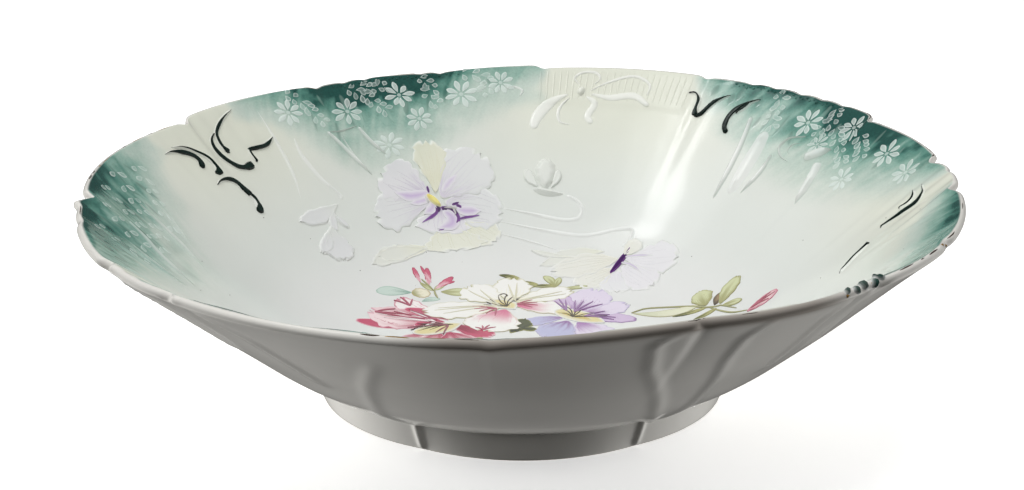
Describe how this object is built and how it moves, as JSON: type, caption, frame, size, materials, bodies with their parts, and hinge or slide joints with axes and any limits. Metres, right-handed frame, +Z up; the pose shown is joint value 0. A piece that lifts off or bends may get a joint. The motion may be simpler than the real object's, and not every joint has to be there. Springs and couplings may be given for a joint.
{
  "type": "serving bowl",
  "caption": "Flared porcelain serving bowl with a lobed, scalloped rim, a lobed foot ring and raised blossoms, ribbon, folds and scrolls inside.",
  "frame": {"origin": "on the bowl's axis, in the plane that the foot ring rests on", "axes": "+Z up along the bowl's axis; +Y towards the ribbon and the large raised blossom; +X to the right of them"},
  "size_m": [0.265, 0.2652, 0.0662],
  "materials": {
    "glazed_shell": "clear gloss glaze on white porcelain, shaded green at the rim lobes",
    "glazed_foot": "clear gloss glaze, unglazed and slightly rough where it rests",
    "relief_glaze": "clear gloss glaze over white relief, thin cream and green tints",
    "lilac_relief": "gloss glaze with hand-tinted lilac, violet and yellow enamel",
    "scroll_enamel": "dark green enamel, glossy",
    "flower_enamel": "fired overglaze flower colours, satin gloss",
    "gilding": "thin worn gilding and brown rubbed enamel on the lip"
  },
  "bodies": {
    "root": {"bowl_shell": "glazed_shell", "foot_ring": "glazed_foot", "ribbon_loop": "relief_glaze", "ribbon_left_tail": "relief_glaze", "ribbon_centre_tail": "relief_glaze", "ribbon_right_tail": "relief_glaze", "bud_stem": "relief_glaze", "trailing_stem": "relief_glaze", "bell_stem": "relief_glaze", "right_fold_1": "relief_glaze", "right_fold_2": "relief_glaze", "right_fold_3": "relief_glaze", "right_fold_4": "relief_glaze", "right_loop": "relief_glaze", "right_drop": "relief_glaze", "left_fold_1": "relief_glaze", "left_fold_2": "relief_glaze", "west_fold_1": "relief_glaze", "west_fold_2": "relief_glaze", "rim_beading": "relief_glaze", "south_fold_1": "relief_glaze", "south_fold_2": "relief_glaze", "south_fold_3": "relief_glaze", "south_fold_4": "relief_glaze", "south_drop": "relief_glaze", "blossom_leaf_west": "relief_glaze", "blossom_leaf_north": "relief_glaze", "ribbon_knot": "relief_glaze", "rose_bud": "relief_glaze", "bell_blossom": "relief_glaze", "large_blossom": "lilac_relief", "small_blossom": "lilac_relief", "scroll_west_1": "scroll_enamel", "scroll_west_2": "scroll_enamel", "scroll_west_3": "scroll_enamel", "scroll_west_4": "scroll_enamel", "scroll_west_5": "scroll_enamel", "scroll_west_6": "scroll_enamel", "scroll_north_1": "scroll_enamel", "scroll_north_2": "scroll_enamel", "scroll_east_1": "scroll_enamel", "scroll_east_2": "scroll_enamel", "scroll_south_1": "scroll_enamel", "scroll_south_2": "scroll_enamel"}
  },
  "joints": []
}
